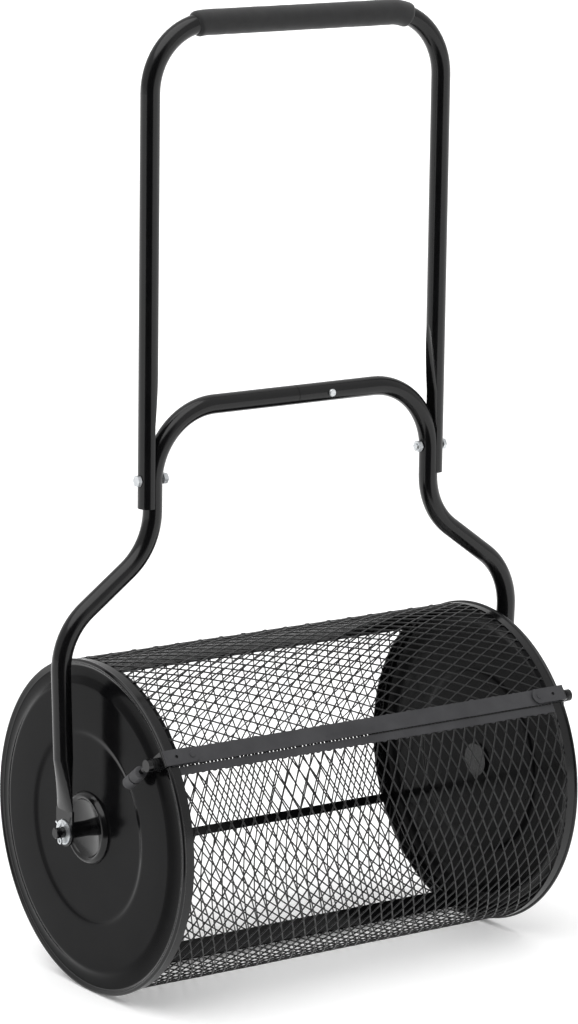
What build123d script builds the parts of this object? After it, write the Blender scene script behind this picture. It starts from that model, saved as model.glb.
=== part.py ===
# Rolling compost drum: an expanded-metal barrel between two pressed steel discs,
# carried on stub axles by a two-piece tube fork with a U-shaped push handle.
#
# Millimetres, +Z up. X runs along the drum's axle and Y across it, with the front at -Y.
# The origin is on the ground, straight under the middle of the drum.
# Angles round the drum are counted from the top towards the front, in degrees.
from build123d import *
from math import cos, degrees, radians, sin, sqrt
import os

os.makedirs("parts", exist_ok=True)

# ---------------------------------------------------------------- driving dimensions
RIM_RADIUS = 215.0  # outside of the rolled rim that the drum stands on
RIM_X = 307.0  # middle of the rim bead, each side of the centre
BEAD_RADIUS = 2.8  # rolled edge of the disc
DISC_T = 1.4  # disc and flange sheet
LIP_WIDTH = 14.0  # flange that the mesh is welded under
WELD_GAP = 0.6  # between a mesh and the strips it is welded to, at mid strand
MESH_T = 0.4  # solid sheet that weighs what the open mesh weighs
STRIP_T = 1.4
END_GAP = 0.4  # strips and mesh stop this far from the rim bead
BAR_T = 1.8  # flat bars inside the mesh

BODY_FRONT_EDGE = 56.8  # angle at which the fixed mesh starts
BODY_STRIP_W = 10.0
REAR_BAR_ANGLE = -117.0
REAR_BAR_W = 12.0
SEAM_ANGLE = -168.0
SEAM_W = 44.0

DOOR_FRONT_EDGE = 56.3
DOOR_FRONT_W = 21.0
DOOR_STRIP_T = 2.0
DOOR_REAR_W = 12.0
DOOR_CLEAR = 0.3  # door strip over the discs' flanges
DOOR_BAND_W = 5.5
DOOR_BAND_T = 1.5
DOOR_SHEET_W = 84.0  # backing sheet along the hinge, inside the door's mesh
DOOR_SHEET_T = 1.2

HINGE_ANGLE = -41.3
HINGE_HALF_GAP = 1.2
HINGE_LENGTH = 60.0
HINGE_LEAF_T = 1.5
HINGE_LEAF_W = 13.0
KNUCKLE_RADIUS = 3.4
KNUCKLE_GAP = 0.3
HINGE_PIN_RADIUS = 1.5
HINGE_PIN_FIT = 0.05
PIN_HEAD = 0.8
RIVET_RADIUS = 1.5
RIVET_FIT = 0.1
RIVET_HEAD_RADIUS = 2.8
RIVET_HEAD_H = 1.2

LATCH_ANGLE = 53.4
LATCH_W = 20.0
LATCH_T = 2.5
LATCH_HOLE_RADIUS = 2.3
LATCH_RIVET_HEAD_RADIUS = 4.2
BOLT_RADIUS = 3.0
BOLT_FIT = 0.05
BOLT_HOLE_FIT = 0.8
BARREL_RADIUS = 7.8
BARREL_LENGTH = 9.4
BARREL_WALL = 2.0
BARREL_CAP = 1.5
HANDLE_GAP = 0.5
GRIP_RADIUS = 8.2
SPRING_WIRE = 0.35
SPRING_TURNS = 3
COLLAR_T = 1.0
KNOB_RADIUS = 7.7  # round boss between the bolt and its handle
KNOB_LENGTH = 6.4

DISC_STEP = 2.0

AXLE_RADIUS = 7.0
AXLE_FIT = 0.05
AXLE_FOOT_R = 22.0
AXLE_FOOT_T = 4.0
WELD_CLEAR = 0.1
HUB_R = 47.0
HUB_RING_R = 41.5
HUB_RING_HALF_W = 4.5
HUB_RING_H = 7.0
HUB_T = 1.5
SPACER_RADIUS = 10.0
SPACER_CLEAR = 0.3
WASHER_RADIUS = 15.8
WASHER_T = 1.4
WASHER_CLEAR = 0.3
COTTER_WIRE = 1.0
COTTER_HOLE_R = 2.2

TUBE_RADIUS = 12.5
TUBE_WALL = 1.4
HANDLE_WALL = 1.2
ARM_T = 3.0
ARM_W = 37.0
ARM_PLATE_H = 30.0  # the flat end reaches this far over the axle
ARM_ROUND_H = 95.0  # above this the arm is a round tube again
KNEE_RADIUS = 90.0
SHOULDER_X = 216.6  # half the distance between the fork's uprights
HANDLE_REACH = 654.4  # top bar over the fork's shoulders
SHOULDER_RADIUS = 90.0
CROSSBAR_RADIUS = 92.0
SPIGOT_LENGTH = 60.0
SPIGOT_FIT = 0.1
SPIGOT_ROOT = 8.0
SEAM_GAP = 0.3  # each fork half stops this far from the middle of the crossbar
SCREW_X = 50.0
SCREW_RADIUS = 2.5
SCREW_HEAD_RADIUS = 5.0
SCREW_HEAD_H = 3.0
HOLE_FIT = 0.15

HANDLE_BEND_R = 84.0
SADDLE_FIT = 0.15
GRIP_TUBE_RADIUS = 16.5
GRIP_FIT = 0.15
LEG_BOLT_RADIUS = 4.0
NUT_ACROSS = 13.0
NUT_H = 6.0
NUT_CLEAR = 1.4  # the upright starts to bend behind the nut
HEAD_H = 4.6

# ---------------------------------------------------------------- worked-out dimensions
# places on the discs and the latches, counted in from the rims
LIP_RADIUS = RIM_RADIUS - 2.0  # outside of the flange
DISC_COVE_R = RIM_RADIUS - 14.0
DISC_SHOULDER_R = RIM_RADIUS - 31.0
DISC_STEP_R = RIM_RADIUS - 93.0
BOLT_R = RIM_RADIUS - 13.0  # distance of the latch bolt from the axle
GRIP_TOP_R = RIM_RADIUS - 32.0
GRIP_GROOVE_R = RIM_RADIUS - 49.5
HANDLE_END_R = RIM_RADIUS - 65.5
GRIP_BOTTOM_R = RIM_RADIUS - 68.0
DISC_COVE_X = RIM_X + 0.6
BOLT_TIP_X = RIM_X + 3.4
DISC_FLAT_X = RIM_X + 5.5  # outer face of the disc's flat middle
TAB_X = RIM_X + 5.9  # inner face of the tab that hangs over the disc
LATCH_HOLE_X = RIM_X - 12.0
LATCH_RIVET_X = RIM_X - 35.0
DOOR_END_X = RIM_X - 14.6  # the door's mesh passes between the flanges
HINGE_X = RIM_X * 0.56
# the fork stands clear of the drum, and the handle stands on the fork
ARM_X = RIM_X + 38.0
KNEE_X = ARM_X + 8.3
COTTER_X = ARM_X + 7.4
AXLE_END_X = ARM_X + 15.5
KNEE_H = RIM_RADIUS + 39.0
SHOULDER_H = RIM_RADIUS + 138.0
CROSSBAR_H = SHOULDER_H + 172.7
LEG_X = SHOULDER_X + 7.8
LEG_FOOT_H = SHOULDER_H + 49.5
LEG_BOLT_H = SHOULDER_H + 85.3
LEG_PRESSED_H = SHOULDER_H + 155.0  # the pressed saddle is full depth up to here
LEG_ROUND_H = SHOULDER_H + 247.0  # and has run out here
HANDLE_TOP_H = SHOULDER_H + HANDLE_REACH
GRIP_HALF_LENGTH = LEG_X - 58.4
AXLE_H = RIM_RADIUS
AXLE_LINE = Axis((0, 0, AXLE_H), (1, 0, 0))
LIP_BORE = LIP_RADIUS - DISC_T
LIP_END_X = RIM_X - LIP_WIDTH
MESH_END_X = RIM_X - BEAD_RADIUS - END_GAP
BODY_MESH_OUT = LIP_BORE - WELD_GAP
BODY_MESH_IN = BODY_MESH_OUT - MESH_T
BAR_OUT = BODY_MESH_IN - WELD_GAP
BODY_STRIP_END_X = LIP_END_X - END_GAP / 2
DOOR_STRIP_IN = LIP_RADIUS + DOOR_CLEAR
DOOR_STRIP_OUT = DOOR_STRIP_IN + DOOR_STRIP_T
DOOR_MESH_OUT = DOOR_STRIP_IN - WELD_GAP
DOOR_MESH_IN = DOOR_MESH_OUT - MESH_T
DOOR_BAND_OUT = DOOR_MESH_IN - WELD_GAP
DOOR_SHEET_OUT = DOOR_BAND_OUT - DOOR_BAND_T - WELD_GAP
REAR_STRIP_OUT = DOOR_STRIP_IN + STRIP_T
LEAF_OUT = REAR_STRIP_OUT + WELD_CLEAR + HINGE_LEAF_T
PIVOT_R = LEAF_OUT - HINGE_LEAF_T + KNUCKLE_RADIUS
PLATE_IN = DOOR_STRIP_OUT + WELD_CLEAR * 2
PLATE_OUT = PLATE_IN + LATCH_T
TAB_OUT_X = TAB_X + LATCH_T
BARREL_END_X = TAB_OUT_X + BARREL_LENGTH
HANDLE_X = BARREL_END_X + HANDLE_GAP + KNOB_LENGTH / 2
ARM_IN_X = ARM_X - ARM_T / 2
ARM_OUT_X = ARM_X + ARM_T / 2
HUB_FLOOR_X = DISC_FLAT_X - DISC_STEP + 2 * HUB_T


def across(width, radius):
    """Angle that a width takes up round the drum."""
    return degrees(width / radius)


def polar(radius, angle):
    """A point of a cross-section, in the section plane's own coordinates."""
    return (radius * cos(radians(angle)), radius * sin(radians(angle)))


def section(x):
    """Cross-section plane at x: its own x runs up and its own y runs to the front."""
    return Plane(origin=(x, 0, AXLE_H), x_dir=(0, 0, 1), z_dir=(1, 0, 0))


def radial_plane(angle, radius, x=0.0):
    """Plane that lies on the drum at an angle: its own x runs along X, its normal points outwards."""
    up, front = polar(radius, angle)
    out_up, out_front = polar(1, angle)
    return Plane(origin=(x, -front, AXLE_H + up), x_dir=(1, 0, 0), z_dir=(0, -out_front, out_up))


HALF_SECTION = Plane(origin=(0, 0, AXLE_H), x_dir=(1, 0, 0), z_dir=(0, -1, 0))


def curved_strip(inner, outer, start, end, x_from, x_to):
    """A strip rolled to the drum's curve, between two angles and two places along X."""
    with BuildPart() as strip:
        with BuildSketch(section(x_from)):
            with BuildLine():
                CenterArc((0, 0), inner, start, end - start)
                CenterArc((0, 0), outer, start, end - start)
                Line(polar(inner, start), polar(outer, start))
                Line(polar(inner, end), polar(outer, end))
            make_face()
        extrude(amount=x_to - x_from)
    return strip


def mirrored(piece):
    """The same piece on the other side of the drum."""
    with BuildPart() as other:
        add(mirror(piece.part, about=Plane.YZ))
    return other


def both_sides(piece):
    """A piece and its mirror image, as two solids of one node."""
    with BuildPart() as pair:
        add(piece.part)
        add(mirror(piece.part, about=Plane.YZ))
    return pair


def plain_ring(inner, outer, x_from, x_to):
    """A plain ring on the axle's line."""
    with BuildPart() as ring:
        with BuildSketch(section(x_from)):
            Circle(outer)
            Circle(inner, mode=Mode.SUBTRACT)
        extrude(amount=x_to - x_from)
    return ring


# ---------------------------------------------------------------- end discs
step_x = DISC_FLAT_X - DISC_STEP
with BuildPart() as end_disc_right:
    with BuildSketch(HALF_SECTION):
        with BuildLine():
            Polyline(
                (step_x, AXLE_RADIUS + WELD_CLEAR),
                (step_x, DISC_STEP_R - 1),
                (DISC_FLAT_X, DISC_STEP_R + 1),
                (DISC_FLAT_X, DISC_SHOULDER_R),
                (DISC_COVE_X, DISC_COVE_R),
                (RIM_X, RIM_RADIUS - 2 * BEAD_RADIUS + 1),
                (RIM_X - DISC_T, RIM_RADIUS - 2 * BEAD_RADIUS + 1),
                (DISC_COVE_X - DISC_T, DISC_COVE_R - DISC_T / 2),
                (DISC_FLAT_X - DISC_T, DISC_SHOULDER_R - DISC_T / 2),
                (DISC_FLAT_X - DISC_T, DISC_STEP_R + 1 + DISC_T / 2),
                (step_x - DISC_T, DISC_STEP_R - 1 + DISC_T / 2),
                (step_x - DISC_T, AXLE_RADIUS + WELD_CLEAR),
                close=True,
            )
        make_face()
        with Locations((RIM_X, RIM_RADIUS - BEAD_RADIUS)):
            Circle(BEAD_RADIUS)
        with Locations((RIM_X - LIP_WIDTH / 2, LIP_RADIUS - DISC_T / 2)):
            Rectangle(LIP_WIDTH, DISC_T)
    revolve(axis=AXLE_LINE, revolution_arc=360)
    # clearance hole that the latch bolt drops into
    with BuildSketch(section(RIM_X - LIP_WIDTH)):
        with Locations(polar(BOLT_R, LATCH_ANGLE)):
            Circle(BOLT_RADIUS + BOLT_HOLE_FIT)
    extrude(amount=2 * LIP_WIDTH, mode=Mode.SUBTRACT)
end_disc_left = mirrored(end_disc_right)

# pressed hub cup: a raised ring with a flat floor, welded on the middle of the disc
with BuildPart() as hub_cup_right:
    with BuildSketch(HALF_SECTION):
        with BuildLine():
            Polyline(
                (step_x, HUB_R),
                (step_x + HUB_T, HUB_R),
                (step_x + HUB_RING_H - 1.5, HUB_RING_R + HUB_RING_HALF_W - 1),
                (step_x + HUB_RING_H, HUB_RING_R + 1.5),
                (step_x + HUB_RING_H, HUB_RING_R - 1.5),
                (step_x + HUB_RING_H - 1.5, HUB_RING_R - HUB_RING_HALF_W + 1),
                (HUB_FLOOR_X, HUB_RING_R - HUB_RING_HALF_W - 1.5),
                (HUB_FLOOR_X, AXLE_RADIUS + WELD_CLEAR),
                (HUB_FLOOR_X - HUB_T, AXLE_RADIUS + WELD_CLEAR),
                (HUB_FLOOR_X - HUB_T, HUB_RING_R - HUB_RING_HALF_W),
                (step_x + HUB_RING_H - 3, HUB_RING_R),
                (step_x, HUB_RING_R + HUB_RING_HALF_W - 1.5),
                close=True,
            )
        make_face()
    revolve(axis=AXLE_LINE, revolution_arc=360)
hub_cup_left = mirrored(hub_cup_right)

# ---------------------------------------------------------------- stub axles and what runs on them
with BuildPart() as axle_right:
    foot_x = step_x - DISC_T
    with BuildSketch(section(foot_x - AXLE_FOOT_T)):
        Circle(AXLE_FOOT_R)
    extrude(amount=AXLE_FOOT_T)
    with BuildSketch(section(foot_x - AXLE_FOOT_T)):
        Circle(AXLE_RADIUS)
    extrude(amount=AXLE_END_X - foot_x + AXLE_FOOT_T)
    chamfer(axle_right.faces().sort_by(Axis.X)[-1].edges(), 1.0)
    with BuildSketch(Plane(origin=(COTTER_X, 0, AXLE_H - 2 * AXLE_RADIUS))):
        Circle(COTTER_HOLE_R)
    extrude(amount=4 * AXLE_RADIUS, mode=Mode.SUBTRACT)
axle_left = mirrored(axle_right)

spacer_end_x = ARM_IN_X - SPACER_CLEAR
spacer_tubes = both_sides(
    plain_ring(AXLE_RADIUS + WELD_CLEAR, SPACER_RADIUS, HUB_FLOOR_X, spacer_end_x)
)
washer_x = ARM_OUT_X + WASHER_CLEAR
axle_washers = both_sides(
    plain_ring(AXLE_RADIUS + WELD_CLEAR, WASHER_RADIUS, washer_x, washer_x + WASHER_T)
)

# split pin through each stub: an eye under the axle and two spread legs above it
with BuildPart() as cotter_right:
    eye_h = AXLE_H - AXLE_RADIUS - 3.6
    with BuildSketch(Plane(origin=(COTTER_X, 0, eye_h), x_dir=(0, 1, 0), z_dir=(1, 0, 0))):
        Circle(3.4 + COTTER_WIRE)
        Circle(3.4 - COTTER_WIRE, mode=Mode.SUBTRACT)
    extrude(amount=COTTER_WIRE, both=True)
    for side, lean, top in ((-1, -4.5, 19.0), (1, 7.5, 13.0)):
        with BuildLine() as leg:
            FilletPolyline(
                (COTTER_X, side * COTTER_WIRE * 0.95, eye_h + 2.6),
                (COTTER_X, side * COTTER_WIRE * 0.95, AXLE_H + AXLE_RADIUS + 1.2),
                (COTTER_X + 1.0, side * COTTER_WIRE + lean, AXLE_H + top),
                radius=1.6,
            )
        with BuildSketch(Plane(origin=leg.line @ 0, z_dir=leg.line % 0)):
            Circle(COTTER_WIRE)
        sweep(path=leg.line)
cotter_pins = both_sides(cotter_right)

# ---------------------------------------------------------------- fixed part of the barrel
body_mesh_end = 360 + HINGE_ANGLE - across(HINGE_HALF_GAP, BODY_MESH_OUT)
body_mesh = curved_strip(
    BODY_MESH_IN, BODY_MESH_OUT, BODY_FRONT_EDGE, body_mesh_end, -MESH_END_X, MESH_END_X
)
body_front_strip = curved_strip(
    LIP_BORE,
    LIP_RADIUS,
    BODY_FRONT_EDGE,
    BODY_FRONT_EDGE + across(BODY_STRIP_W, LIP_RADIUS),
    -BODY_STRIP_END_X,
    BODY_STRIP_END_X,
)
body_hinge_edge = HINGE_ANGLE - across(HINGE_HALF_GAP, LIP_RADIUS)
body_hinge_strip = curved_strip(
    LIP_BORE,
    LIP_RADIUS,
    body_hinge_edge - across(DOOR_REAR_W, LIP_RADIUS),
    body_hinge_edge,
    -BODY_STRIP_END_X,
    BODY_STRIP_END_X,
)


def inside_bar(middle, width):
    """A flat bar under the fixed mesh, from disc to disc."""
    half = across(width, BAR_OUT) / 2
    return curved_strip(
        BAR_OUT - BAR_T, BAR_OUT, middle - half, middle + half, -MESH_END_X, MESH_END_X
    )


rear_bar = inside_bar(REAR_BAR_ANGLE, REAR_BAR_W)
seam_strip = inside_bar(SEAM_ANGLE, SEAM_W)

# ---------------------------------------------------------------- door
door_hinge_edge = HINGE_ANGLE + across(HINGE_HALF_GAP, DOOR_STRIP_IN)
door_mesh = curved_strip(
    DOOR_MESH_IN, DOOR_MESH_OUT, door_hinge_edge, DOOR_FRONT_EDGE, -DOOR_END_X, DOOR_END_X
)
door_front_strip = curved_strip(
    DOOR_STRIP_IN,
    DOOR_STRIP_OUT,
    DOOR_FRONT_EDGE - across(DOOR_FRONT_W, DOOR_STRIP_OUT),
    DOOR_FRONT_EDGE,
    -MESH_END_X,
    MESH_END_X,
)
door_rear_strip = curved_strip(
    DOOR_STRIP_IN,
    REAR_STRIP_OUT,
    door_hinge_edge,
    door_hinge_edge + across(DOOR_REAR_W, DOOR_STRIP_IN),
    -DOOR_END_X,
    DOOR_END_X,
)
door_end_bands = both_sides(
    curved_strip(
        DOOR_BAND_OUT - DOOR_BAND_T,
        DOOR_BAND_OUT,
        door_hinge_edge,
        DOOR_FRONT_EDGE,
        DOOR_END_X - DOOR_BAND_W,
        DOOR_END_X,
    )
)

door_backing_sheet = curved_strip(
    DOOR_SHEET_OUT - DOOR_SHEET_T,
    DOOR_SHEET_OUT,
    door_hinge_edge,
    door_hinge_edge + across(DOOR_SHEET_W, DOOR_SHEET_OUT),
    -DOOR_END_X,
    DOOR_END_X,
)

# ---------------------------------------------------------------- hinges
knuckle = HINGE_LENGTH / 3
hinge_middle = polar(PIVOT_R, HINGE_ANGLE)


def hinge_leaf(x_middle, side, leaf_in, knuckles):
    """One leaf: a curved plate on its strip with its own share of the three knuckles."""
    start = x_middle - HINGE_LENGTH / 2
    far = HINGE_ANGLE + side * across(HINGE_HALF_GAP + HINGE_LEAF_W, LEAF_OUT)
    clear = HINGE_ANGLE + side * across(KNUCKLE_RADIUS + 0.6, LEAF_OUT)
    own = HINGE_ANGLE + side * across(1.0, LEAF_OUT)
    with BuildPart() as leaf:
        add(
            curved_strip(
                leaf_in, LEAF_OUT, min(far, clear), max(far, clear), start, start + HINGE_LENGTH
            ).part
        )
        for n in knuckles:
            low = start + n * knuckle + KNUCKLE_GAP / 2
            high = start + (n + 1) * knuckle - KNUCKLE_GAP / 2
            with BuildSketch(section(low)):
                with Locations(hinge_middle):
                    Circle(KNUCKLE_RADIUS)
            extrude(amount=high - low)
            add(
                curved_strip(
                    LEAF_OUT - HINGE_LEAF_T, LEAF_OUT, min(own, clear), max(own, clear), low, high
                ).part
            )
        with BuildSketch(section(start - 1)):
            with Locations(hinge_middle):
                Circle(HINGE_PIN_RADIUS + HINGE_PIN_FIT)
        extrude(amount=HINGE_LENGTH + 2, mode=Mode.SUBTRACT)
    return leaf


def rivet_places(side, radius):
    """Planes of one leaf's rivets, at the outer face of the leaf."""
    angle = HINGE_ANGLE + side * across(HINGE_HALF_GAP + HINGE_LEAF_W * 0.62, LEAF_OUT)
    return [
        radial_plane(angle, radius, x_middle + dx)
        for x_middle in (-HINGE_X, HINGE_X)
        for dx in (-HINGE_LENGTH / 3, HINGE_LENGTH / 3)
    ]


def rivet_holes(piece, side):
    """Cuts the hinge rivets' holes through a strip or a leaf."""
    with BuildPart() as drilled:
        add(piece.part)
        for place in rivet_places(side, LIP_BORE - WELD_GAP / 2):
            with BuildSketch(place):
                Circle(RIVET_RADIUS + RIVET_FIT)
            extrude(amount=PIVOT_R - LIP_BORE + KNUCKLE_RADIUS, mode=Mode.SUBTRACT)
    return drilled


def hinge_leaves(side, leaf_in, knuckles):
    with BuildPart() as leaves:
        for x_middle in (-HINGE_X, HINGE_X):
            add(hinge_leaf(x_middle, side, leaf_in, knuckles).part)
    return rivet_holes(leaves, side)


drum_hinge_leaves = hinge_leaves(-1, LIP_RADIUS + WELD_CLEAR, (0, 2))
door_hinge_leaves = hinge_leaves(1, REAR_STRIP_OUT + WELD_CLEAR, (1,))
body_hinge_strip = rivet_holes(body_hinge_strip, -1)
door_rear_strip = rivet_holes(door_rear_strip, 1)

with BuildPart() as hinge_pins:
    for x_middle in (-HINGE_X, HINGE_X):
        start = x_middle - HINGE_LENGTH / 2
        with BuildSketch(section(start - PIN_HEAD)):
            with Locations(hinge_middle):
                Circle(HINGE_PIN_RADIUS)
        extrude(amount=HINGE_LENGTH + 2 * PIN_HEAD)
        for x_head in (start - PIN_HEAD, start + HINGE_LENGTH + 0.05):
            with BuildSketch(section(x_head)):
                with Locations(hinge_middle):
                    Circle(HINGE_PIN_RADIUS + 0.9)
            extrude(amount=PIN_HEAD - 0.05)


def leaf_rivets(side, shank_in):
    with BuildPart() as rivets:
        for place in rivet_places(side, shank_in):
            with BuildSketch(place):
                Circle(RIVET_RADIUS)
            extrude(amount=LEAF_OUT - shank_in)
        for place in rivet_places(side, LEAF_OUT + WELD_CLEAR / 2):
            with BuildSketch(place):
                Circle(RIVET_HEAD_RADIUS)
            extrude(amount=RIVET_HEAD_H, taper=30)
            with BuildSketch(place.offset(-WELD_CLEAR)):
                Circle(RIVET_RADIUS)
            extrude(amount=2 * WELD_CLEAR)
    return rivets


drum_hinge_rivets = leaf_rivets(-1, LIP_BORE + WELD_CLEAR)
door_hinge_rivets = leaf_rivets(1, DOOR_STRIP_IN + WELD_CLEAR)

# ---------------------------------------------------------------- latches
# flat bar riveted on the door's front strip, bent down over the rim in front of the disc
with BuildPart() as latch_plate_right:
    half = LATCH_W / 2
    with BuildSketch(radial_plane(LATCH_ANGLE, PLATE_IN)):
        with Locations((LATCH_RIVET_X, 0)):
            Circle(half)
        with Locations(((LATCH_RIVET_X + TAB_OUT_X) / 2, 0)):
            Rectangle(TAB_OUT_X - LATCH_RIVET_X, LATCH_W)
    extrude(amount=LATCH_T)
    up, front = polar(1, LATCH_ANGLE)
    tab_plane = Plane(origin=(TAB_X, 0, AXLE_H), x_dir=(0, -front, up), z_dir=(1, 0, 0))
    with BuildSketch(tab_plane):
        with Locations((BOLT_R, 0)):
            Circle(half)
        with Locations(((BOLT_R + PLATE_OUT) / 2, 0)):
            Rectangle(PLATE_OUT - BOLT_R, LATCH_W)
    extrude(amount=LATCH_T)
    fillet(
        latch_plate_right.edges()
        .filter_by(lambda e: abs(e.center().X - TAB_OUT_X) < 0.01 and e.length > LATCH_W - 0.1)
        .sort_by(lambda e: (e.center() - Vector(TAB_OUT_X, 0, AXLE_H)).length)[-1:],
        2.4,
    )
    with BuildSketch(radial_plane(LATCH_ANGLE, PLATE_IN - 1)):
        with Locations((LATCH_RIVET_X, 0)):
            Circle(RIVET_RADIUS + RIVET_FIT)
        with Locations((LATCH_HOLE_X, 0)):
            Circle(LATCH_HOLE_RADIUS)
    extrude(amount=LATCH_T + 2, mode=Mode.SUBTRACT)
    with BuildSketch(tab_plane.offset(-1)):
        with Locations((BOLT_R, 0)):
            Circle(BOLT_RADIUS + BOLT_FIT)
    extrude(amount=LATCH_T + 2, mode=Mode.SUBTRACT)
latch_plate_left = mirrored(latch_plate_right)

with BuildPart() as drilled_strip:
    add(door_front_strip.part)
    for side in (-1, 1):
        with BuildSketch(radial_plane(LATCH_ANGLE, DOOR_STRIP_IN - 1)):
            with Locations((side * LATCH_RIVET_X, 0)):
                Circle(RIVET_RADIUS + RIVET_FIT)
        extrude(amount=DOOR_STRIP_T + 2, mode=Mode.SUBTRACT)
door_front_strip = drilled_strip

with BuildPart() as latch_rivet_right:
    with BuildSketch(radial_plane(LATCH_ANGLE, DOOR_STRIP_IN + WELD_CLEAR, LATCH_RIVET_X)):
        Circle(RIVET_RADIUS)
    extrude(amount=PLATE_OUT - DOOR_STRIP_IN)
    with BuildSketch(radial_plane(LATCH_ANGLE, PLATE_OUT, LATCH_RIVET_X)):
        Circle(LATCH_RIVET_HEAD_RADIUS)
    extrude(amount=RIVET_HEAD_H, taper=25)
latch_rivets = both_sides(latch_rivet_right)

bolt_plane = Plane(origin=(0, 0, AXLE_H), x_dir=(0, -front, up), z_dir=(1, 0, 0))


def on_bolt(x):
    """Cross-section plane on the latch bolt's own line."""
    return Plane(
        origin=(x, -front * BOLT_R, AXLE_H + up * BOLT_R), x_dir=(0, -front, up), z_dir=(1, 0, 0)
    )


# ribbed barrel on the tab, hollow for the spring
with BuildPart() as latch_barrel_right:
    with BuildSketch(on_bolt(TAB_OUT_X)):
        Circle(BARREL_RADIUS)
        Circle(BARREL_RADIUS - BARREL_WALL, mode=Mode.SUBTRACT)
    extrude(amount=BARREL_LENGTH)
    with BuildSketch(on_bolt(BARREL_END_X - BARREL_CAP)):
        Circle(BARREL_RADIUS)
        Circle(BOLT_RADIUS + BOLT_FIT, mode=Mode.SUBTRACT)
    extrude(amount=BARREL_CAP)
    for n in range(3):
        with BuildSketch(on_bolt(TAB_OUT_X + 2.6 + 3.4 * n)):
            Circle(BARREL_RADIUS + 1)
            Circle(BARREL_RADIUS - 0.9, mode=Mode.SUBTRACT)
        extrude(amount=1.4, mode=Mode.SUBTRACT)
latch_barrel_left = mirrored(latch_barrel_right)

# bolt: straight through the barrel into a round boss, which carries the handle down the disc
collar_x = TAB_OUT_X + 1.0
with BuildPart() as latch_bolt_right:
    with BuildSketch(on_bolt(BOLT_TIP_X)):
        Circle(BOLT_RADIUS)
    extrude(amount=HANDLE_X - BOLT_TIP_X)
    with BuildSketch(on_bolt(collar_x)):
        Circle(BARREL_RADIUS - BARREL_WALL - 0.4)
    extrude(amount=COLLAR_T)
    with BuildSketch(on_bolt(BARREL_END_X + HANDLE_GAP)):
        Circle(KNOB_RADIUS)
    extrude(amount=KNOB_LENGTH)
    handle_plane = Plane(
        origin=(HANDLE_X, -front * HANDLE_END_R, AXLE_H + up * HANDLE_END_R),
        x_dir=(1, 0, 0),
        z_dir=(0, -front, up),
    )
    with BuildSketch(handle_plane):
        Circle(BOLT_RADIUS)
    extrude(amount=BOLT_R - HANDLE_END_R)
latch_bolt_left = mirrored(latch_bolt_right)

with BuildPart() as latch_grip_right:
    grip_plane = Plane(
        origin=(HANDLE_X, -front * GRIP_BOTTOM_R, AXLE_H + up * GRIP_BOTTOM_R),
        x_dir=(1, 0, 0),
        z_dir=(0, -front, up),
    )
    with BuildSketch(grip_plane):
        Circle(GRIP_RADIUS)
    extrude(amount=GRIP_TOP_R - GRIP_BOTTOM_R)
    fillet(latch_grip_right.edges().filter_by(GeomType.CIRCLE), 1.6)
    with BuildSketch(grip_plane.offset(GRIP_GROOVE_R - GRIP_BOTTOM_R - 1.2)):
        Circle(GRIP_RADIUS + 1)
        Circle(GRIP_RADIUS - 1.2, mode=Mode.SUBTRACT)
    extrude(amount=2.4, mode=Mode.SUBTRACT)
    with BuildSketch(grip_plane.offset(HANDLE_END_R - GRIP_BOTTOM_R - WELD_CLEAR)):
        Circle(BOLT_RADIUS + WELD_CLEAR)
    extrude(amount=GRIP_TOP_R, mode=Mode.SUBTRACT)
latch_grip_left = mirrored(latch_grip_right)

# small coil between the bolt's collar and the barrel's cap
with BuildPart() as latch_spring_right:
    spring_start = collar_x + COLLAR_T + SPRING_WIRE + 0.1
    spring_length = BARREL_END_X - BARREL_CAP - SPRING_WIRE - 0.1 - spring_start
    spring_radius = (BARREL_RADIUS - BARREL_WALL + BOLT_RADIUS) / 2
    with BuildLine() as coil:
        Helix(
            pitch=spring_length / SPRING_TURNS,
            height=spring_length,
            radius=spring_radius,
            center=(spring_start, -front * BOLT_R, AXLE_H + up * BOLT_R),
            direction=(1, 0, 0),
        )
    with BuildSketch(Plane(origin=coil.line @ 0, z_dir=coil.line % 0)):
        Circle(SPRING_WIRE)
    sweep(path=coil.line, is_frenet=True)
latch_spring_left = mirrored(latch_spring_right)

# ---------------------------------------------------------------- fork
fork_plane = Plane(origin=(0, 0, AXLE_H), x_dir=(1, 0, 0), z_dir=(0, -1, 0))
arm_round_x = ARM_X + (KNEE_X - ARM_X) * ARM_ROUND_H / KNEE_H
arm_end = (arm_round_x, ARM_ROUND_H)


def fork_tube(radius, start_x):
    """The run of one fork half, as a solid rod: crossbar, upright, shoulder and arm."""
    with BuildPart() as rod:
        with BuildLine(fork_plane) as path:
            FilletPolyline(
                (start_x, CROSSBAR_H),
                (SHOULDER_X, CROSSBAR_H),
                (SHOULDER_X, SHOULDER_H),
                (KNEE_X, KNEE_H),
                arm_end,
                radius=(CROSSBAR_RADIUS, SHOULDER_RADIUS, KNEE_RADIUS),
            )
        with BuildSketch(Plane(origin=path.line @ 0, z_dir=path.line % 0)):
            Circle(radius)
        sweep(path=path.line)
    return rod


def arm_loft(radius, width, thickness, low_h):
    """The stretch where the round arm is pressed flat."""
    lean = Vector(arm_round_x - ARM_X, 0, ARM_ROUND_H)
    with BuildPart() as pressed:
        with BuildSketch(
            Plane(origin=(ARM_X, 0, AXLE_H + low_h), x_dir=(0, 1, 0), z_dir=(0, 0, 1))
        ):
            Ellipse(width / 2, thickness / 2)
        with BuildSketch(
            Plane(
                origin=(arm_round_x, 0, AXLE_H + ARM_ROUND_H), x_dir=(0, 1, 0), z_dir=lean
            )
        ):
            Circle(radius)
        loft()
    return pressed


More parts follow.
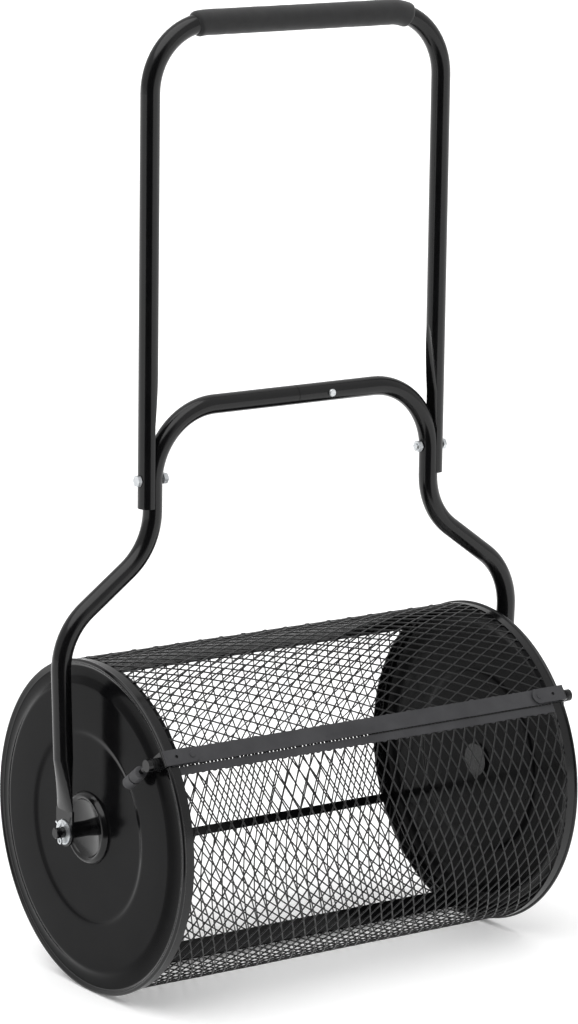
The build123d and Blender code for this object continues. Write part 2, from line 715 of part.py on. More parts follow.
with BuildPart() as fork_shell:
    add(fork_tube(TUBE_RADIUS, SEAM_GAP).part)
    add(arm_loft(TUBE_RADIUS, ARM_W, ARM_T * 1.5, ARM_PLATE_H - 2).part)
    # flat end round the axle
    with BuildSketch(section(ARM_IN_X)):
        Circle(ARM_W / 2)
        with Locations((ARM_PLATE_H / 2, 0)):
            Rectangle(ARM_PLATE_H, ARM_W)
    extrude(amount=ARM_T)
    add(fork_tube(TUBE_RADIUS - TUBE_WALL, -1).part, mode=Mode.SUBTRACT)
    add(
        arm_loft(TUBE_RADIUS - TUBE_WALL, ARM_W - 6, 0.8, ARM_PLATE_H + 8).part,
        mode=Mode.SUBTRACT,
    )
    with BuildSketch(section(ARM_IN_X - 1)):
        Circle(AXLE_RADIUS + AXLE_FIT)
    extrude(amount=ARM_T + 2, mode=Mode.SUBTRACT)
    # hole for the bolt through the handle's leg
    bolt_h = AXLE_H + LEG_BOLT_H
    with BuildSketch(Plane(origin=(SHOULDER_X - 20, 0, bolt_h), x_dir=(0, 1, 0), z_dir=(1, 0, 0))):
        Circle(LEG_BOLT_RADIUS + HOLE_FIT)
    extrude(amount=40, mode=Mode.SUBTRACT)

screw_plane = Plane(
    origin=(SCREW_X, 0, AXLE_H + CROSSBAR_H), x_dir=(1, 0, 0), z_dir=(0, -1, 0)
)
with BuildPart() as fork_right:
    add(fork_shell.part)
    with BuildSketch(screw_plane):
        Circle(SCREW_RADIUS + HOLE_FIT)
    extrude(amount=2 * TUBE_RADIUS, mode=Mode.SUBTRACT)

with BuildPart() as fork_left:
    add(mirror(fork_shell.part, about=Plane.YZ))
    spigot_radius = TUBE_RADIUS - TUBE_WALL - SPIGOT_FIT
    crossbar_centre = (0, 0, AXLE_H + CROSSBAR_H)
    with BuildSketch(Plane(origin=crossbar_centre, x_dir=(0, 1, 0), z_dir=(1, 0, 0))):
        Circle(spigot_radius)
    extrude(amount=SPIGOT_LENGTH)
    with BuildSketch(Plane(origin=crossbar_centre, x_dir=(0, 1, 0), z_dir=(-1, 0, 0))):
        Circle(TUBE_RADIUS - TUBE_WALL / 2)
    extrude(amount=SPIGOT_ROOT)
    with BuildSketch(
        Plane(origin=(-SPIGOT_ROOT - 1, 0, AXLE_H + CROSSBAR_H), x_dir=(0, 1, 0), z_dir=(1, 0, 0))
    ):
        Circle(spigot_radius - TUBE_WALL)
    extrude(amount=SPIGOT_LENGTH + SPIGOT_ROOT + 2, mode=Mode.SUBTRACT)
    with BuildSketch(screw_plane):
        Circle(SCREW_RADIUS + HOLE_FIT)
    extrude(amount=2 * TUBE_RADIUS, mode=Mode.SUBTRACT)

with BuildPart() as crossbar_screw:
    with BuildSketch(screw_plane.offset(TUBE_RADIUS - 2 * TUBE_WALL - 1)):
        Circle(SCREW_RADIUS)
    extrude(amount=2 * TUBE_WALL + 2)
    with BuildSketch(screw_plane.offset(TUBE_RADIUS + WELD_CLEAR)):
        Circle(SCREW_HEAD_RADIUS)
    extrude(amount=SCREW_HEAD_H)
    fillet(crossbar_screw.faces().sort_by(Axis.Y)[0].edges(), 1.6)

# ---------------------------------------------------------------- push handle
shift = LEG_ROUND_H - LEG_PRESSED_H
relief_out_x = LEG_X - TUBE_RADIUS - TUBE_RADIUS - SADDLE_FIT - 0.2


def saddle_relief(radius):
    """The space that the fork's upright takes out of a handle leg, running out upwards."""
    with BuildPart() as relief:
        with BuildSketch(Plane(origin=(SHOULDER_X, 0, AXLE_H + LEG_FOOT_H - 5))):
            Circle(radius)
        extrude(amount=LEG_PRESSED_H - LEG_FOOT_H + 5)
        with BuildSketch(Plane(origin=(SHOULDER_X, 0, AXLE_H + LEG_PRESSED_H))):
            Circle(radius)
        with BuildSketch(Plane(origin=(relief_out_x, 0, AXLE_H + LEG_ROUND_H))):
            Circle(radius)
        loft()
    return relief


relief = saddle_relief(TUBE_RADIUS + SADDLE_FIT)
relief_wall = saddle_relief(TUBE_RADIUS + SADDLE_FIT + HANDLE_WALL)


def handle_rod(radius, foot_h):
    """The whole U as a solid rod."""
    with BuildPart() as rod:
        with BuildLine(fork_plane) as path:
            FilletPolyline(
                (-LEG_X, foot_h),
                (-LEG_X, HANDLE_TOP_H),
                (LEG_X, HANDLE_TOP_H),
                (LEG_X, foot_h),
                radius=HANDLE_BEND_R,
            )
        with BuildSketch(Plane(origin=path.line @ 0, z_dir=path.line % 0)):
            Circle(radius)
        sweep(path=path.line)
    return rod


with BuildPart() as handle_bore:
    add(handle_rod(TUBE_RADIUS - HANDLE_WALL, LEG_FOOT_H - 1).part)
    add(relief_wall.part, mode=Mode.SUBTRACT)
    add(mirror(relief_wall.part, about=Plane.YZ), mode=Mode.SUBTRACT)

with BuildPart() as handle_tube:
    add(handle_rod(TUBE_RADIUS, LEG_FOOT_H).part)
    add(relief.part, mode=Mode.SUBTRACT)
    add(mirror(relief.part, about=Plane.YZ), mode=Mode.SUBTRACT)
    add(handle_bore.part, mode=Mode.SUBTRACT)
    for side in (-1, 1):
        with BuildSketch(
            Plane(origin=(side * LEG_X - 20, 0, bolt_h), x_dir=(0, 1, 0), z_dir=(1, 0, 0))
        ):
            Circle(LEG_BOLT_RADIUS + HOLE_FIT)
        extrude(amount=40, mode=Mode.SUBTRACT)

# foam sleeve on the top bar, long enough to start round both bends
bend_angle = degrees((GRIP_HALF_LENGTH - (LEG_X - HANDLE_BEND_R)) / HANDLE_BEND_R)
with BuildPart() as foam_grip:
    with BuildLine(fork_plane) as grip_path:
        straight = LEG_X - HANDLE_BEND_R
        CenterArc(
            (-straight, HANDLE_TOP_H - HANDLE_BEND_R), HANDLE_BEND_R, 90 + bend_angle, -bend_angle
        )
        Line((-straight, HANDLE_TOP_H), (straight, HANDLE_TOP_H))
        CenterArc((straight, HANDLE_TOP_H - HANDLE_BEND_R), HANDLE_BEND_R, 90, -bend_angle)
    with BuildSketch(Plane(origin=grip_path.line @ 0, z_dir=grip_path.line % 0)):
        Circle(GRIP_TUBE_RADIUS)
        Circle(TUBE_RADIUS + GRIP_FIT, mode=Mode.SUBTRACT)
    sweep(path=grip_path.line)

# bolts through the legs and the fork's uprights, with their nuts on the inside
leg_out_x = LEG_X + TUBE_RADIUS
fork_in_x = SHOULDER_X - TUBE_RADIUS


def on_leg_bolt(x):
    return Plane(origin=(x, 0, bolt_h), x_dir=(0, 1, 0), z_dir=(1, 0, 0))


with BuildPart() as leg_bolt_right:
    with BuildSketch(on_leg_bolt(fork_in_x - NUT_CLEAR - NUT_H - 2)):
        Circle(LEG_BOLT_RADIUS)
    extrude(amount=leg_out_x - fork_in_x + NUT_CLEAR + NUT_H + 2 + WELD_CLEAR)
    with BuildSketch(on_leg_bolt(leg_out_x + WELD_CLEAR)):
        RegularPolygon(radius=NUT_ACROSS / 2, side_count=6, major_radius=False)
    extrude(amount=HEAD_H)
leg_bolts = both_sides(leg_bolt_right)

with BuildPart() as leg_nut_right:
    with BuildSketch(on_leg_bolt(fork_in_x - NUT_CLEAR - NUT_H)):
        RegularPolygon(radius=NUT_ACROSS / 2, side_count=6, major_radius=False)
        Circle(LEG_BOLT_RADIUS + WELD_CLEAR / 2, mode=Mode.SUBTRACT)
    extrude(amount=NUT_H)
leg_nuts = both_sides(leg_nut_right)

# ---------------------------------------------------------------- write the pieces
pieces = {
    "handle_tube": handle_tube,
    "foam_grip": foam_grip,
    "fork_left": fork_left,
    "fork_right": fork_right,
    "crossbar_screw": crossbar_screw,
    "leg_bolts": leg_bolts,
    "leg_nuts": leg_nuts,
    "end_disc_left": end_disc_left,
    "end_disc_right": end_disc_right,
    "hub_cup_left": hub_cup_left,
    "hub_cup_right": hub_cup_right,
    "axle_left": axle_left,
    "axle_right": axle_right,
    "spacer_tubes": spacer_tubes,
    "axle_washers": axle_washers,
    "cotter_pins": cotter_pins,
    "body_mesh": body_mesh,
    "body_front_strip": body_front_strip,
    "body_hinge_strip": body_hinge_strip,
    "rear_bar": rear_bar,
    "seam_strip": seam_strip,
    "drum_hinge_leaves": drum_hinge_leaves,
    "hinge_pins": hinge_pins,
    "drum_hinge_rivets": drum_hinge_rivets,
    "door_mesh": door_mesh,
    "door_front_strip": door_front_strip,
    "door_rear_strip": door_rear_strip,
    "door_end_bands": door_end_bands,
    "door_backing_sheet": door_backing_sheet,
    "door_hinge_leaves": door_hinge_leaves,
    "door_hinge_rivets": door_hinge_rivets,
    "latch_plate_left": latch_plate_left,
    "latch_plate_right": latch_plate_right,
    "latch_rivets": latch_rivets,
    "latch_barrel_left": latch_barrel_left,
    "latch_barrel_right": latch_barrel_right,
    "latch_bolt_left": latch_bolt_left,
    "latch_bolt_right": latch_bolt_right,
    "latch_grip_left": latch_grip_left,
    "latch_grip_right": latch_grip_right,
    "latch_spring_left": latch_spring_left,
    "latch_spring_right": latch_spring_right,
}
for name, piece in pieces.items():
    piece.part.label = name
    export_step(piece.part, f"parts/{name}.step")
print(len(pieces), "pieces; hinge line", [round(v, 3) for v in (*hinge_middle, AXLE_H)])
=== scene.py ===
# %% [markdown]
# # Rolling compost spreader drum
#
# The CAD model gives the places, the joints and the main sizes. This script gives the object its
# looks: open expanded-metal mesh, foam, weld marks, powder coat and zinc. Lengths are in metres,
# or in mm where a name or a comment says so. The drum turns about a line along X, and places on it
# are given by an angle from the top towards the front (-Y), a radius from that line, and X.

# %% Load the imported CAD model
import math
import random

import bmesh
import bpy
from mathutils import Matrix, Vector, noise


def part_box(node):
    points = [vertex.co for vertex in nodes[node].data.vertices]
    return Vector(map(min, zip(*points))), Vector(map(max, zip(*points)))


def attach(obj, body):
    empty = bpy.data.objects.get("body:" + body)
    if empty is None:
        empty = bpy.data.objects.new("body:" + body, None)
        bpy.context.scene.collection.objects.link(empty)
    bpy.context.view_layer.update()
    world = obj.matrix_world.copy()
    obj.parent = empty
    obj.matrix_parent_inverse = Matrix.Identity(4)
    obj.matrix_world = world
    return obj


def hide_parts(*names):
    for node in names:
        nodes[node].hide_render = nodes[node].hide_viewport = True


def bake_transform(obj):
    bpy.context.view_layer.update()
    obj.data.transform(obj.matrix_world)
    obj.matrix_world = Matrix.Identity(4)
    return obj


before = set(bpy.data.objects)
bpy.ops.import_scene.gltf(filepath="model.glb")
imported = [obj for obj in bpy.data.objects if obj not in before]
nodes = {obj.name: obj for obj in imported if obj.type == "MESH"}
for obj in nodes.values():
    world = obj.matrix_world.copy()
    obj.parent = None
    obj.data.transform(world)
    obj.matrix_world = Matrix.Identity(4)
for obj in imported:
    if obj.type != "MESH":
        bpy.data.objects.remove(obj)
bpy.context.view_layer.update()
MM = 0.001
SIDES = ((-1, "left"), (1, "right"))
random.seed(7)

# %% [markdown]
# ## Sizes of the drum
#
# The axle's height, the rims and the ends of the meshes are read from the CAD nodes' boxes, so that
# the new pieces follow the CAD if it changes. The angles of the meshes' edges can't be read from a
# box, so they are written here.

# %% Drum sizes
FACE_X = 5.5  # mm from the middle of the rim's bead out to the disc's face
disc_low, disc_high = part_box("end_disc_right")
AXLE_Z = (disc_low.z + disc_high.z) / 2
RIM_R = (disc_high.z - disc_low.z) / 2
RIM_X = disc_high.x - FACE_X * MM
DOOR_REAR_ANGLE = -41.0
DOOR_FRONT_ANGLE = 56.3
BODY_FRONT_ANGLE = 56.8
BODY_REAR_ANGLE = 318.4
body_mesh_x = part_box("body_mesh")[1].x
door_mesh_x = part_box("door_mesh")[1].x
print("axle height", round(AXLE_Z, 4), "rim radius", round(RIM_R, 4), "rim at x", round(RIM_X, 4))


def at(angle, radius, x):
    """The point at an angle from the top towards the front, a radius from the axle, and x."""
    a = math.radians(angle)
    return Vector((x, -radius * math.sin(a), AXLE_Z + radius * math.cos(a)))


# %% [markdown]
# ## Helpers for materials
#
# Each material is a small node tree. One function turns a colour written as seen on a screen into
# the linear values that Blender works in, and one adds a node and sets it up.

# %% Material helpers
def linear(text):
    """A screen colour such as "2b2b2d" as linear red, green, blue and alpha."""
    values = [int(text[i : i + 2], 16) / 255 for i in (0, 2, 4)]
    return [v / 12.92 if v <= 0.04045 else ((v + 0.055) / 1.055) ** 2.4 for v in values] + [1.0]


def link(owner, output, socket):
    """Links two nodes of a material or a world."""
    owner.node_tree.links.new(output, socket)


def add_node(owner, kind, links=None, **settings):
    """Adds a node to a material or a world, with its inputs, properties and incoming links."""
    new = owner.node_tree.nodes.new(kind)
    for key, value in settings.items():
        if key in new.inputs:
            new.inputs[key].default_value = value
        else:
            setattr(new, key, value)
    for key, source in (links or {}).items():
        link(owner, source, new.inputs[key])
    return new


def start_material(name):
    """An empty material with a Principled shader, and the object's own coordinates."""
    material = bpy.data.materials.new(name)
    material.use_nodes = True
    shader = material.node_tree.nodes["Principled BSDF"]
    place = add_node(material, "ShaderNodeTexCoord").outputs["Object"]
    return material, shader, place


def noise_at(material, place, size_mm, detail=3.0, roughness=0.5):
    """Noise whose blotches are about size_mm across."""
    made = add_node(material, "ShaderNodeTexNoise", {"Vector": place},
                    Scale=1000.0 / size_mm, Detail=detail, Roughness=roughness)
    return made.outputs["Fac"]


def ramp(material, value, stops):
    """A colour ramp: stops are (position, screen colour)."""
    made = add_node(material, "ShaderNodeValToRGB", {"Fac": value})
    elements = made.color_ramp.elements
    while len(elements) < len(stops):
        elements.new(0.5)
    for element, (position, colour) in zip(elements, stops):
        element.position = position
        element.color = linear(colour)
    return made.outputs["Color"]


def span(material, value, low, high):
    """Maps 0..1 to low..high."""
    made = add_node(material, "ShaderNodeMapRange", {"Value": value},
                    **{"To Min": low, "To Max": high})
    return made.outputs["Result"]


def add_bump(material, shader, height, distance_mm, strength=1.0):
    """Bump from a height value, distance_mm deep."""
    made = add_node(material, "ShaderNodeBump", {"Height": height},
                    Distance=distance_mm * MM, Strength=strength)
    link(material, made.outputs["Normal"], shader.inputs["Normal"])


# %% [markdown]
# ## Materials
#
# The powder coat comes in four kinds: glossy on the tubes, rims and hub cups, a duller one on the
# discs' faces, one on the flat strips whose grey colour is a painted reflection of the sky on the
# black coat, and one for the thin strands of the mesh. Each has a fine orange-peel surface and soft
# dull patches. The fasteners are zinc plated, the latch barrels are plastic, the latch handles have
# vinyl sleeves, and the grip is foam.

# %% Powder coats
def powder_coat(name, low, high, roughness, specular, peel_mm=1.6, peel_depth_mm=0.02):
    """Powder coat: colour drifts between low and high, with orange peel and soft dull patches."""
    material, shader, place = start_material(name)
    blotch = noise_at(material, place, 45, 4.0, 0.6)
    link(material, ramp(material, blotch, [(0.32, low), (0.7, high)]),
         shader.inputs["Base Color"])
    smear = noise_at(material, place, 18, 5.0, 0.65)
    link(material, span(material, smear, roughness - 0.05, roughness + 0.08),
         shader.inputs["Roughness"])
    peel = noise_at(material, place, peel_mm, 2.0)
    add_bump(material, shader, peel, peel_depth_mm)
    shader.inputs["Specular IOR Level"].default_value = specular
    return material


gloss_black = powder_coat("gloss_black_powder_coat", "0b0b0c", "101011", 0.16, 0.34)
disc_black = powder_coat("disc_black_powder_coat", "09090a", "0e0e0f", 0.14, 0.055, 2.2, 0.01)
# The strips' coat is the black powder coat with grey painted into its colour: a painted reflection
# of the sky on the flat strips.
strip_coat_painted_reflection = powder_coat("strip_black_coat_painted_sky_reflection", "373739", "424244", 0.42, 0.22, 1.4, 0.02)
mesh_coat = powder_coat("mesh_strand_powder_coat", "131314", "1c1c1d", 0.3, 0.4, 1.0, 0.015)


# %% Zinc plate
def zinc_plate(name, tint):
    """Bright zinc: cloudy tint, fine scratches and a little blue-yellow passivation."""
    material, shader, place = start_material(name)
    cloud = noise_at(material, place, 6, 4.0, 0.6)
    link(material, ramp(material, cloud, [(0.3, "b9bcbf"), (0.6, tint), (0.85, "d6d3c6")]),
         shader.inputs["Base Color"])
    shader.inputs["Metallic"].default_value = 0.9
    link(material, span(material, cloud, 0.3, 0.44), shader.inputs["Roughness"])
    stretch = add_node(material, "ShaderNodeMapping", {"Vector": place}, Scale=(1.0, 7.0, 1.0))
    scratch = noise_at(material, stretch.outputs["Vector"], 0.8, 2.0)
    add_bump(material, shader, scratch, 0.004)
    return material


zinc = zinc_plate("bright_zinc_plated_steel", "cfd2d4")
spring_steel = zinc_plate("spring_steel_wire", "a2a6aa")


# %% Foam, plastic and vinyl
def foam_skin(name, low, high):
    """Closed-cell foam: matt, with small round cells and soft grey blotches at random."""
    material, shader, place = start_material(name)
    cells = add_node(material, "ShaderNodeTexVoronoi", {"Vector": place}, Scale=1000.0 / 1.3)
    blotch = noise_at(material, place, 14, 4.0, 0.6)
    link(material, ramp(material, blotch, [(0.3, low), (0.75, high)]),
         shader.inputs["Base Color"])
    shader.inputs["Roughness"].default_value = 0.78
    shader.inputs["Sheen Weight"].default_value = 0.25
    shader.inputs["Sheen Roughness"].default_value = 0.5
    add_bump(material, shader, cells.outputs["Distance"], 0.22, 0.7)
    return material


def moulded(name, low, high):
    """Dull moulded plastic or vinyl with a fine grain."""
    material, shader, place = start_material(name)
    blotch = noise_at(material, place, 9, 3.0)
    link(material, ramp(material, blotch, [(0.3, low), (0.7, high)]),
         shader.inputs["Base Color"])
    shader.inputs["Roughness"].default_value = 0.52
    shader.inputs["Specular IOR Level"].default_value = 0.2
    add_bump(material, shader, noise_at(material, place, 0.5, 2.0), 0.03)
    return material


foam = foam_skin("black_closed_cell_foam", "101011", "1b1b1c")
grey_sleeve = moulded("dull_grey_vinyl_sleeve", "3e3e40", "4c4c4e")
black_plastic = moulded("black_moulded_plastic", "0e0e0f", "151516")


# %% [markdown]
# ## Helpers for pieces
#
# A new piece is built in bmesh, gets its normals turned outwards, and then rides on a CAD body and
# stands for the CAD nodes it replaces.

# %% Piece helpers
def add_object(name, data):
    """A new object in the scene."""
    made = bpy.data.objects.new(name, data)
    bpy.context.scene.collection.objects.link(made)
    return made


def to_mesh(name, bm):
    """Turns a bmesh into a mesh and frees it."""
    mesh = bpy.data.meshes.new(name)
    bm.to_mesh(mesh)
    bm.free()
    return mesh


def shade(mesh, sharp_angle):
    """Smooth shading, with the edges over an angle kept sharp."""
    mesh.shade_smooth()
    mesh.set_sharp_from_angle(angle=math.radians(sharp_angle))


def finish_piece(name, bm, body, material, replaced=(), smooth_angle=35):
    """Makes a piece of a bmesh: normals out, shading, material, body and replaced nodes.

    A piece given no body is left without one."""
    bmesh.ops.remove_doubles(bm, verts=bm.verts[:], dist=1e-6)
    bmesh.ops.recalc_face_normals(bm, faces=bm.faces[:])
    mesh = to_mesh(name, bm)
    made = add_object(name, mesh)
    mesh.materials.append(material)
    shade(mesh, smooth_angle)
    if body:
        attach(made, body)
    if replaced:
        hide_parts(*replaced)
    print(name, len(mesh.polygons), "faces")
    return made


def sweep(bm, path, radius_at, sides):
    """Sweeps a circle along a path and caps it. radius_at(share, angle) gives the radius."""
    rings = []
    side_way = (path[1] - path[0]).orthogonal().normalized()
    for i, point in enumerate(path):
        ahead = (path[min(i + 1, len(path) - 1)] - path[max(i - 1, 0)]).normalized()
        side_way = (side_way - ahead * side_way.dot(ahead)).normalized()
        up_way = ahead.cross(side_way)
        ring = []
        for k in range(sides):
            a = math.tau * k / sides
            r = radius_at(i / (len(path) - 1), a)
            ring.append(
                bm.verts.new(point + side_way * math.cos(a) * r + up_way * math.sin(a) * r)
            )
        rings.append(ring)
    for low, high in zip(rings, rings[1:]):
        for k in range(sides):
            bm.faces.new((low[k], low[(k + 1) % sides], high[(k + 1) % sides], high[k]))
    bm.faces.new(rings[0])
    bm.faces.new(rings[-1])


# %% [markdown]
# ## Expanded-metal mesh
#
# The mesh is steel sheet that was slit and pulled open, so its strands run in two slanting
# families and meet in short flat knuckles. It is laid out flat first: x along the drum and s round
# it. Every knuckle is a small diamond, and every strand joins two knuckles. The sheet is then cut
# to size, rolled to the drum's radius and given its thickness. The fixed sheet's diamonds are long
# round the drum, and the door's are long along it.

# %% Mesh maker
STRAND_W = 1.2 * MM
STRAND_T = 1.7 * MM
STRAND_EDGE = 0.22 * MM  # width of the bevel on the strands' edges
KNUCKLE = 0.5 * MM  # extra half length of each knuckle
WOBBLE = 0.18 * MM  # how far a knuckle may be from its true place
RIPPLE = 0.5 * MM  # dents in the rolled sheet
RIPPLE_SCALE = 14  # dents to the metre
BODY_PITCH_X, BODY_PITCH_S = 17.3 * MM, 35 * MM
DOOR_PITCH_X, DOOR_PITCH_S = 34 * MM, 17 * MM


def expanded_sheet(half_x, length, pitch_x, pitch_s):
    """A flat expanded sheet in x and s. The knuckles' long way is the longer pitch."""
    bm = bmesh.new()
    share = STRAND_W * math.hypot(pitch_x, pitch_s) / (2 * pitch_x * pitch_s)
    knuckle_x = share * pitch_x
    knuckle_s = share * pitch_s
    if pitch_x > pitch_s:
        knuckle_x += KNUCKLE
    else:
        knuckle_s += KNUCKLE
    # Two columns to a pitch, and a few more than fit, since the sheet is cut to size below.
    columns = int(2 * half_x / pitch_x * 2) + 4
    rows = int(length / pitch_s * 2) + 4
    x_start = -pitch_x * (columns // 2) / 2
    s_start = length / 2 - pitch_s * (rows // 2) / 2
    corners = {}
    for i in range(columns + 1):
        for j in range(rows + 1):
            if (i + j) % 2:
                continue
            x = x_start + i * pitch_x / 2 + random.uniform(-WOBBLE, WOBBLE)
            s = s_start + j * pitch_s / 2 + random.uniform(-WOBBLE, WOBBLE)
            corners[i, j] = [
                bm.verts.new((x + dx, s + ds, 0))
                for dx, ds in ((knuckle_x, 0), (0, knuckle_s), (-knuckle_x, 0), (0, -knuckle_s))
            ]
            bm.faces.new(corners[i, j])
    for (i, j), (east, north, _, south) in corners.items():
        up = corners.get((i + 1, j + 1))
        if up:
            bm.faces.new((east, up[3], up[2], north))
        down = corners.get((i + 1, j - 1))
        if down:
            bm.faces.new((east, south, down[2], down[1]))
    for place, way in (((-half_x, 0, 0), (-1, 0, 0)), ((half_x, 0, 0), (1, 0, 0)),
                       ((0, 0, 0), (0, -1, 0)), ((0, length, 0), (0, 1, 0))):
        bmesh.ops.bisect_plane(bm, geom=bm.verts[:] + bm.edges[:] + bm.faces[:], dist=1e-7,
                               plane_co=place, plane_no=way, clear_outer=True)
    return bm


def roll_up(bm, start_angle, radius):
    """Rolls a flat sheet on to the drum: s becomes an angle, and the sheet gets shallow dents."""
    for vert in bm.verts:
        x, s, lift = vert.co
        angle = start_angle + math.degrees(s / radius)
        dent = RIPPLE * noise.noise(Vector((x * RIPPLE_SCALE, s * RIPPLE_SCALE, 3.0)))
        vert.co = at(angle, radius + lift + dent, x)


def mesh_piece(name, angles, radius, half_x, pitch_x, pitch_s, body, replaced):
    """One sheet of expanded metal on the drum, with thick strands whose edges are rounded."""
    length = math.radians(angles[1] - angles[0]) * radius
    bm = expanded_sheet(half_x, length, pitch_x, pitch_s)
    roll_up(bm, angles[0], radius)
    made = finish_piece(name, bm, body, mesh_coat, replaced)
    solid = made.modifiers.new("sheet thickness", "SOLIDIFY")
    solid.thickness = STRAND_T
    solid.offset = 0.0
    bevel = made.modifiers.new("rounded edges", "BEVEL")
    bevel.width = STRAND_EDGE
    bevel.segments = 1
    bevel.limit_method = "ANGLE"
    bevel.angle_limit = math.radians(30)


# %% Mesh sheets of the body and the door
HALF_CAD_SHEET = 0.2 * MM  # the CAD's plain sheet is 0.4 mm thick
DOOR_MESH_STEP = 1.7 * MM  # the door's mesh lies this much further out than the body's
body_mesh_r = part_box("body_mesh")[1].y
mesh_piece("body_expanded_mesh", (BODY_FRONT_ANGLE, BODY_REAR_ANGLE),
           body_mesh_r - HALF_CAD_SHEET, body_mesh_x,
           BODY_PITCH_X, BODY_PITCH_S, "drum", ["body_mesh"])
mesh_piece("door_expanded_mesh", (DOOR_REAR_ANGLE, DOOR_FRONT_ANGLE),
           body_mesh_r + DOOR_MESH_STEP - HALF_CAD_SHEET, door_mesh_x,
           DOOR_PITCH_X, DOOR_PITCH_S, "door", ["door_mesh"])


# %% [markdown]
# ## Pressed end discs and hub cups
#
# Both are sheet steel pressed round, so each is an outline turned about the axle. The disc has a
# sunk middle, a flat ring, a cove that falls away to the rim, and the edge rolled over a wire into
# a bead with the flange behind it. The cup has one round ridge. An outline is in mm: the first
# number is x counted outwards from the rim, or from the disc for the cup, and the second is the
# radius.

# %% Lathe
def bezier(p0, p1, p2, p3, steps):
    """Points of a smooth curve in the outline, both ends included."""
    points = []
    for i in range(steps + 1):
        t = i / steps
        k = ((1 - t) ** 3, 3 * t * (1 - t) ** 2, 3 * t * t * (1 - t), t**3)
        points.append(tuple(k[0] * a + k[1] * b + k[2] * c + k[3] * d
                            for a, b, c, d in zip(p0, p1, p2, p3)))
    return points


def arc(centre, radius, start, end, steps):
    """Points of an arc in the outline, from one angle to another."""
    angles = [math.radians(start + (end - start) * i / steps) for i in range(steps + 1)]
    return [(centre[0] + radius * math.cos(a), centre[1] + radius * math.sin(a)) for a in angles]


def turned(outline, side, x_from):
    """A closed outline in mm, turned all the way round the axle on one side of the drum."""
    bm = bmesh.new()
    ring = [bm.verts.new((side * (x_from + x * MM), 0, AXLE_Z + r * MM)) for x, r in outline]
    edges = [bm.edges.new((a, b)) for a, b in zip(ring, ring[1:] + ring[:1])]
    bmesh.ops.spin(bm, geom=ring + edges, cent=(0, 0, AXLE_Z), axis=(1, 0, 0), angle=math.tau,
                   steps=180, use_merge=True)
    return bm


def punch(made, place, radius, length):
    """Cuts a round hole along X through a finished piece."""
    bm = bmesh.new()
    turn = Matrix.Rotation(math.pi / 2, 4, "Y")
    bmesh.ops.create_cone(bm, cap_ends=True, segments=40, radius1=radius, radius2=radius,
                          depth=length, matrix=Matrix.Translation(place) @ turn)
    cutter = add_object("cutter", to_mesh("cutter", bm))
    cut = made.modifiers.new("hole", "BOOLEAN")
    cut.object = cutter
    cut.solver = "EXACT"
    whole = made.evaluated_get(bpy.context.evaluated_depsgraph_get())
    made.data = bpy.data.meshes.new_from_object(whole)
    made.modifiers.clear()
    bpy.data.objects.remove(cutter)


# %% End discs with their bolt holes
R = RIM_R / MM
BEAD = 2.8  # radius of the rolled edge
SHEET = 1.4
SUNK_X = 3.5  # face of the sunk middle
BORE_R = 7.2  # hole for the axle
FLANGE_END_X = -14.0
FLANGE_R = R - 2.0
PRESSED_SHARP = 50  # edges over this many degrees stay sharp on discs and cups
BOLT_HOLE_R = 3.8 * MM
RIM_GLOSS_W = 7 * MM  # the outermost part of the disc is as glossy as the tubes
cove = bezier((FACE_X, R - 34), (FACE_X, R - 26.5), (0.5, R - 27), (0.3, R - 8.5), 18)
step = bezier((SUNK_X, R - 100), (SUNK_X, R - 92.5), (FACE_X, R - 93.5), (FACE_X, R - 86), 12)
front_face = [(SUNK_X, BORE_R), (SUNK_X, 60.0)] + step + [(FACE_X, R - 60)] + cove
# The sheet's back follows its face. All but its first two points are also nearer the axle, by half
# the sheet's thickness.
back_face = [(x - SHEET, r - 0.5 * SHEET * (i > 1)) for i, (x, r) in enumerate(front_face)]
bead = arc((0, R - BEAD), BEAD, -62, 162, 22)
flange = [(FLANGE_END_X, FLANGE_R), (FLANGE_END_X, FLANGE_R - SHEET)]
under_bead = arc((0, R - BEAD), BEAD, 193, 246, 6)
disc_outline = front_face + bead + flange + under_bead + back_face[::-1]
for side, end in SIDES:
    spring_low, spring_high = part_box("latch_spring_" + end)
    bolt_line = (spring_low + spring_high) / 2
    bm = turned(disc_outline, side, RIM_X)
    disc = finish_piece("pressed_disc_" + end, bm, "drum", disc_black,
                        ["end_disc_" + end], PRESSED_SHARP)
    punch(disc, (side * RIM_X, bolt_line.y, bolt_line.z), BOLT_HOLE_R, 30 * MM)
    shade(disc.data, PRESSED_SHARP)
    disc.data.materials.append(gloss_black)
    for face in disc.data.polygons:
        from_axle = math.hypot(face.center.y, face.center.z - AXLE_Z)
        face.material_index = int(from_axle > RIM_R - RIM_GLOSS_W)

# %% Hub cups
CUP_R = 47.0
CUP_BACK_X = 0.1
CUP_EDGE_X = 1.2
CUP_FLOOR_X = 3.0
CREST_X = 7.0  # top of the ridge
RIDGE_R = 46.6  # where the ridge starts
RIDGE_HALF_W = 5.2


def ridge_side(foot_x, steps):
    """One side of the ridge: it rises from its outer foot in steps 1 to 12 and then falls."""
    return [(foot_x + (CREST_X - foot_x) * math.sin(math.pi * t / 24) ** 0.75,
             RIDGE_R - RIDGE_HALF_W * t / 12) for t in steps]


ridge = ridge_side(1.3, range(1, 13)) + ridge_side(CUP_FLOOR_X, range(13, 24))
cup_outline = [(CUP_BACK_X, CUP_R), (CUP_EDGE_X, CUP_R)] + ridge
cup_outline += [(CUP_FLOOR_X, 35.6), (CUP_FLOOR_X, BORE_R), (CUP_BACK_X, BORE_R)]
for side, end in SIDES:
    bm = turned(cup_outline, side, RIM_X + SUNK_X * MM)
    finish_piece("hub_ring_" + end, bm, "drum", gloss_black,
                 ["hub_cup_" + end], PRESSED_SHARP)

